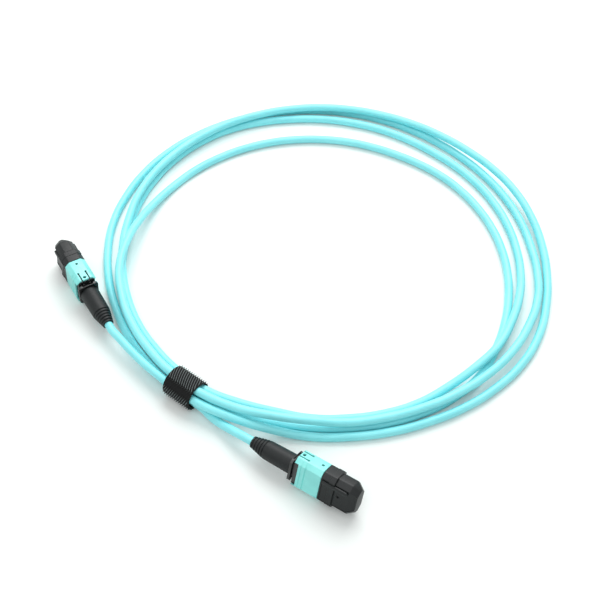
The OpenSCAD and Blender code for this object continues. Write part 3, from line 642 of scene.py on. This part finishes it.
# Dust cap: its ends, the mouth's size, the band, the body and the tip that its front tapers to
CAP_AT, CAP_END = 28.1, 41.0
MOUTH_W, MOUTH_H, MOUTH_C = 5.5, 10.0, 0.35
CAP_BAND = 0.13
CAP_BODY_W, CAP_BODY_H, CAP_BODY_C = 6.85, 11.65, 1.7
CAP_TIP_W, CAP_TIP_H = 4.5, 8.7
CAP_TAPER = 2.6
SKIRT_CORNER = 0.36
BODY_CORNER = 0.42
DIMPLE_AT = 6.7
DIMPLE_R = 0.48
DIMPLE_CUT = (2.86, 4.0)
CAP_RIB_AT, CAP_RIB_END = 28.65, 37.3
CAP_RIB_Z = 3.0
CAP_RIB_HALF_W = 0.7
# Ferrule: where its face is, and its fibres' number, spacing, drawn sides and radii
FERRULE_FACE = 36.6
FIBRES = 12
FIBRE_PITCH = 0.25
FIBRE_SIDES = 8
FIBRE_R, FIBRE_TIP_R = 0.07, 0.055


def mould_boot(side):
    """Bend-relief boot: five rounded rings that widen into a plain barrel."""
    profile = [(0.35, 1.53), (0.04, 1.58), (0.0, 1.75)]
    for i in range(BOOT_RINGS):
        x, crest = RING_PITCH * i, BOOT_REAR_R + RING_GROWS * i
        groove = crest + RING_GROWS / 2 - GROOVE_DEPTH
        profile += [(x + 0.03, crest - 0.10), (x + 0.10, crest), (x + 0.60, crest + 0.12),
                    (x + 0.70, crest + 0.09), (x + 0.76, crest - 0.02), (x + 0.79, groove + 0.05),
                    (x + 0.85, groove), (x + 1.0, groove), (x + 1.07, groove + 0.08)]
    profile += [(5.53, 3.12), (5.62, 3.22), (6.2, 3.27), (9.0, 3.33), (12.0, 3.38), (15.2, 3.43),
                (15.9, 3.44), (16.12, 3.42), (16.26, 3.32), (BOOT_LEN, 3.15), (BOOT_LEN, 2.62),
                (9.6, 2.62), (9.3, 1.55)]
    fit(new_object("bend_relief_boot_" + side, turned(profile, 72, PLUGS[side]), 40),
        "boot_black", "root", "strain_boot_" + side)


def mould_housing(side):
    """Pull-back housing: chamfered sleeve with a finger step, and a slotted tab,
    a window and a key dot in each narrow wall."""
    w, h, c = HOUSING_W, HOUSING_H, HOUSING_C

    def outer(x, inset_y=0.0, inset_z=0.0):
        return x, section(w - 2 * inset_y, h - 2 * inset_z, c - inset_y, c - inset_z)

    def inner(x):
        return x, section(HOUSING_IN_W, HOUSING_IN_H, HOUSING_IN_C, HOUSING_IN_C)

    at, end = HOUSING_AT, HOUSING_END
    rings = [outer(at, 0.14, 0.14), outer(at + 0.05, 0.04, 0.04), outer(at + 0.14),
             outer(at + 2.44), outer(at + 2.50, 0.16), outer(at + 2.78, 0.16), outer(at + 2.84),
             outer(at + 3.94), outer(at + 3.98, 0.24), outer(at + 4.38, 0.24), outer(at + 4.52),
             outer(end - 0.14), outer(end - 0.05, 0.04, 0.04), outer(end, 0.14, 0.14),
             inner(end), inner(end - 2.0), inner(at + 2.0), inner(at)]
    cutter = bmesh.new()
    place = PLUGS[side]
    # the wide walls are cut from a frame on its side, whose y is the plug's -z
    prism(cutter, [(at - 1, -CUT_BACK_HALF_H), (at + CUT_BACK, -CUT_BACK_HALF_H),
                   (at + CUT_BACK, CUT_BACK_HALF_H), (at - 1, CUT_BACK_HALF_H)],
          -5.0, 5.0, place @ Matrix.Rotation(math.radians(-90), 4, "X"))
    for wall in (-1, 1):
        z0, z1 = sorted(wall * z for z in WALL_CUT)
        for y in (-TAB_HALF_W, TAB_HALF_W):
            slot = arc(at + TAB_SLOT_LEN, y, TAB_SLOT_END_R, TAB_SLOT_END_R, -140, 141)
            prism(cutter, [(at - 1, y - TAB_SLOT_HALF_W)] + slot + [(at - 1, y + TAB_SLOT_HALF_W)],
                  z0, z1, place)
        prism(cutter, arc(at + WINDOW_AT, 0.0, *WINDOW_R), z0, z1, place)
        prism(cutter, arc(end - KEY_DOT_AT, 0.0, KEY_DOT_R, KEY_DOT_R), z0, z1, place)
    shell = cut(loft(rings, place, loop=True), cutter, "housing_blank")
    fit(new_object("pull_housing_" + side, shell, 28), "housing_aqua", "pull_housing_" + side,
        "outer_housing_" + side)


def mould_cap(side):
    """Dust cap: skirt, raised band, body and tapered front, with a recess between
    two lips along each wide face, and a dimple in the recess."""
    def mouth(x, w=MOUTH_W, h=MOUTH_H):
        return x, section(w, h, MOUTH_C, MOUTH_C)

    def skirt(x, inset=0.0, recess=0.0):
        c = HOUSING_C - inset * 0.6
        return x, section(HOUSING_W - 2 * inset, HOUSING_H - 2 * inset, c, c, recess, SKIRT_CORNER)

    def body(x, inset=0.0, recess=0.25):
        return x, section(CAP_BODY_W - 2 * inset, CAP_BODY_H - 2 * inset, CAP_BODY_C, CAP_BODY_C,
                          recess, BODY_CORNER)

    def front(share, inset=0.0, recess=0.25):
        w = CAP_BODY_W + (CAP_TIP_W - CAP_BODY_W) * share - 2 * inset
        h = CAP_BODY_H + (CAP_TIP_H - CAP_BODY_H) * share - 2 * inset
        return (CAP_END - CAP_TAPER + CAP_TAPER * share,
                section(w, h, CAP_BODY_C, CAP_BODY_C, recess, BODY_CORNER))

    at, band = CAP_AT, CAP_BAND
    rings = [mouth(36.2, 5.3, 9.8), mouth(36.1), mouth(at + 0.35), mouth(at + 0.1, 5.6, 10.1),
             mouth(at, 5.8, 10.3), skirt(at, 0.22), skirt(at + 0.05, 0.08), skirt(at + 0.16),
             skirt(at + 0.5), skirt(at + 0.58, 0, 0.2), skirt(at + 2.86, 0, 0.2),
             skirt(at + 2.93, -band, 0.2), skirt(at + 4.86, -band, 0.2),
             skirt(at + 4.97, -band + 0.1, 0.2), body(at + 5.0, 0.06, 0.2),
             body(at + 5.16, 0.06, 0.2), body(at + 5.26), body(CAP_END - 2.7), front(0.02),
             front(0.5, 0, 0.22), front(0.80, 0, 0.2), front(0.89, 0, 0.0), front(0.95, 0.02, 0.0),
             front(0.985, 0.10, 0.0), front(1.0, 0.26, 0.0)]
    place = PLUGS[side]
    on_side = place @ Matrix.Rotation(math.radians(-90), 4, "X")
    cutter = bmesh.new()
    for wall in (-1, 1):
        z0, z1 = sorted(wall * z for z in DIMPLE_CUT)
        prism(cutter, arc(at + DIMPLE_AT, 0.0, DIMPLE_R, DIMPLE_R, step=15), z0, z1, on_side)
    shell = cut(loft(rings, place), cutter, "cap_blank")
    fit(new_object("push_on_dust_cap_" + side, shell, 28), "cap_black", "cap_" + side,
        "dust_cap_" + side)


def mould_cap_rib(side, wall, word):
    """Rib with a round end that runs along the recess of one wide face of the cap."""
    bm = bmesh.new()
    rows = []
    for y, inset in ((2.9, 0.0), (3.84, 0.0), (3.92, 0.03), (3.955, 0.12)):
        start, half = CAP_RIB_AT + inset, CAP_RIB_HALF_W - inset
        outline = [(start, CAP_RIB_Z + half), (start, CAP_RIB_Z - half)]
        outline += arc(CAP_RIB_END - inset, CAP_RIB_Z, half, half, -90, 91, 15)
        rows.append(ring(bm, [(x, wall * y, z) for x, z in outline], PLUGS[side]))
    skin(bm, rows)
    fit(new_object("cap_rib_%s_%s" % (word, side), bm, 35), "cap_black", "cap_" + side)


def soften(node, slot, body, bevel_mm, name, cutter=None):
    """Copy of a moulded node, cut if it needs it, with its long outer edges rounded over."""
    bm = bmesh.new()
    bm.from_mesh(bpy.data.objects[node].data)
    if cutter:
        bm = cut(bm, cutter, name + "_blank")
    bmesh.ops.remove_doubles(bm, verts=bm.verts, dist=1e-7)
    bmesh.ops.dissolve_limit(bm, angle_limit=math.radians(1), verts=bm.verts, edges=bm.edges)
    edges = [e for e in bm.edges if len(e.link_faces) == 2 and e.is_convex
             and e.calc_face_angle(0.0) > math.radians(25) and e.calc_length() > 0.8 * MM]
    bmesh.ops.bevel(bm, geom=edges, offset=bevel_mm * MM, segments=2, profile=0.5, affect="EDGES",
                    clamp_overlap=True)
    fit(new_object(name, bm, 30), slot, body, node)


def mould_latch_arms(side):
    """Two small latch arms that show between the flange and the housing's tab."""
    for wall, word in ((-1, "lower"), (1, "upper")):
        bm = bmesh.new()
        for y in (-1.15, 1.15):
            rows = []
            for z, grow in ((2.9, 0.0), (4.05, 0.0), (4.22, -0.06), (4.3, -0.16)):
                x0, x1, half = 17.15 - grow, 18.35 + grow * 1.5, 0.34 + grow
                corners = ((x0, y - half), (x1, y - half), (x1, y + half), (x0, y + half))
                rows.append(ring(bm, [(a, b, wall * z) for a, b in corners], PLUGS[side]))
            skin(bm, rows)
        fit(new_object("latch_arms_%s_%s" % (word, side), bm, 35), "plug_black", "root")


def set_fibres(side):
    """Twelve polished fibre ends in a row on the ferrule's face, 0.25 mm apart."""
    bm = bmesh.new()
    turns = [360 * j / FIBRE_SIDES for j in range(FIBRE_SIDES)]
    for i in range(FIBRES):
        z = FIBRE_PITCH * (i - (FIBRES - 1) / 2)
        skin(bm, [ring(bm, [(x, r * cos(b), z + r * sin(b)) for b in turns], PLUGS[side])
                  for x, r in ((FERRULE_FACE - 0.02, FIBRE_R), (FERRULE_FACE + 0.006, FIBRE_R),
                               (FERRULE_FACE + 0.012, FIBRE_TIP_R))])
    fit(new_object("fibre_ends_" + side, bm, 40), "fibre", "floating_ferrule_" + side)


def set_yielding(node, name, slot):
    """Copy of an inner piece with its finish, on the root body in place of its node, with a mesh of
    its own.
    """
    bm = bmesh.new()
    bm.from_mesh(bpy.data.objects[node].data)
    made = fit(new_object(name, bm, 40), slot, "root", node)
    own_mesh(made)


# Inner pieces that yield when a joint moves back, copied here as they stand: node, piece, finish,
# joint and the joint's travel in mm
YIELDING = (
    ("coupling_springs_", "side_springs_", "steel", "housing_pull_", 2.0),
    ("ferrule_spring_", "pressure_spring_", "steel", "ferrule_float_", 0.6),
    ("fibre_ribbon_", "ribbon_run_", "fibre", "ferrule_float_", 0.6),
)

for side in ("a", "b"):
    mould_boot(side)
    mould_housing(side)
    mould_cap(side)
    mould_cap_rib(side, -1, "near")
    mould_cap_rib(side, 1, "far")
    mould_latch_arms(side)
    notch = bmesh.new()
    for z0, z1 in ((-6.0, -NOTCH_FLOOR), (NOTCH_FLOOR, 6.0)):
        prism(notch, [(NOTCH_X[0], -NOTCH_HALF_W), (NOTCH_X[1], -NOTCH_HALF_W),
                      (NOTCH_X[1], NOTCH_HALF_W), (NOTCH_X[0], NOTCH_HALF_W)], z0, z1, PLUGS[side])
    soften("spring_push_" + side, "plug_black", "root", 0.12, "push_flange_" + side, notch)
    soften("plug_frame_" + side, "plug_black", "root", 0.10, "plug_nose_" + side)
    soften("ferrule_" + side, "ferrule_black", "floating_ferrule_" + side, 0.06,
           "ground_ferrule_" + side)
    set_fibres(side)
    for node, name, slot, joint, travel_mm in YIELDING:
        set_yielding(node + side, name + side, slot)

# ---------- CAD nodes that stay ----------
SLOT_OF = {"crimp_sleeve": "steel", "aramid_yarn": "yarn", "ferrule_boot": "boot_black",
           "pin_keeper": "steel"}
for kind, slot in SLOT_OF.items():
    for side in ("a", "b"):
        for place in bpy.data.objects["%s_%s" % (kind, side)].material_slots:
            place.material = FINISHES[slot]


# ---------- studio ----------
FLOOR_HALF = 3.0
# The floor's lift for camera rays grows from the object outwards: distances in metres, strengths
LIFT_FROM = (0.25, 0.045)
LIFT_TO = (1.0, 0.75)
# The room's light on the object, its white as seen, and the point that the panels face
ROOM_LIGHT = 0.49
SEEN_WHITE = 1.0
PANELS_FACE = Vector((0.03, 0.04, 0))


def lay_floor():
    mesh = bpy.data.meshes.new("studio_floor")
    half = FLOOR_HALF
    mesh.from_pydata([(-half, -half, 0), (half, -half, 0), (half, half, 0), (-half, half, 0)],
                     [], [(0, 1, 2, 3)])
    floor = bpy.data.objects.new("studio_floor", mesh)
    bpy.context.collection.objects.link(floor)
    # Matt white paper, uncoated: no gloss; the lift for camera rays keeps its white at white.
    # Its faint green tint is painted light bounced from the aqua cord into the shadows
    paper = bpy.data.materials.new("matt_white_paper")
    paper.use_nodes = True
    tree = paper.node_tree
    tree.nodes.clear()
    matt = add(tree, "BsdfDiffuse", {"Color": linear("F1F6F4")})
    glow = add(tree, "Emission", {"Color": (1, 1, 1, 1)})
    ray = add(tree, "LightPath")
    place = add(tree, "TexCoord").outputs["Object"]
    far = add(tree, "VectorMath", links={0: place}, operation="LENGTH")
    rise = add(tree, "MapRange",
               {"From Min": LIFT_FROM[0], "From Max": LIFT_TO[0],
                "To Min": LIFT_FROM[1], "To Max": LIFT_TO[1]},
               {"Value": far.outputs["Value"]})
    lift = add(tree, "Math", links={0: ray.outputs["Is Camera Ray"], 1: rise.outputs["Result"]},
               operation="MULTIPLY")
    tree.links.new(lift.outputs[0], glow.inputs["Strength"])
    both = add(tree, "AddShader", links={0: matt.outputs[0], 1: glow.outputs[0]})
    add(tree, "OutputMaterial", links={"Surface": both.outputs[0]})
    mesh.materials.append(paper)


def light_panel(name, place, size, watts):
    lamp = bpy.data.lights.new(name, "AREA")
    lamp.shape = "RECTANGLE"
    lamp.size, lamp.size_y = size
    lamp.energy = watts
    panel = bpy.data.objects.new(name, lamp)
    bpy.context.collection.objects.link(panel)
    panel.location = place
    panel.rotation_mode = "QUATERNION"
    panel.rotation_quaternion = (PANELS_FACE - Vector(place)).to_track_quat("-Z", "Y")


def light_room():
    world = bpy.data.worlds.new("studio_room")
    bpy.context.scene.world = world
    world.use_nodes = True
    tree = world.node_tree
    tree.nodes.clear()
    ray = add(tree, "LightPath")
    seen = add(tree, "Background", {"Color": (1, 1, 1, 1), "Strength": SEEN_WHITE})
    room = add(tree, "Background", {"Color": (1, 1, 1, 1), "Strength": ROOM_LIGHT})
    # polished and clear pieces show the white room as the camera sees it
    straight = add(tree, "Math", operation="MAXIMUM",
                   links={0: ray.outputs["Is Camera Ray"], 1: ray.outputs["Is Glossy Ray"]})
    either = add(tree, "Math", operation="MAXIMUM",
                 links={0: straight.outputs["Value"], 1: ray.outputs["Is Transmission Ray"]})
    mix = add(tree, "MixShader",
              links={0: either.outputs["Value"], 1: room.outputs[0], 2: seen.outputs[0]})
    add(tree, "OutputWorld", links={"Surface": mix.outputs[0]})


lay_floor()
light_panel("key_softbox", (0.15, 0.66, 0.80), (0.8, 0.8), 9.3)
light_panel("fill_softbox", (-0.25, -0.3, 0.95), (0.9, 0.9), 3.0)
light_room()
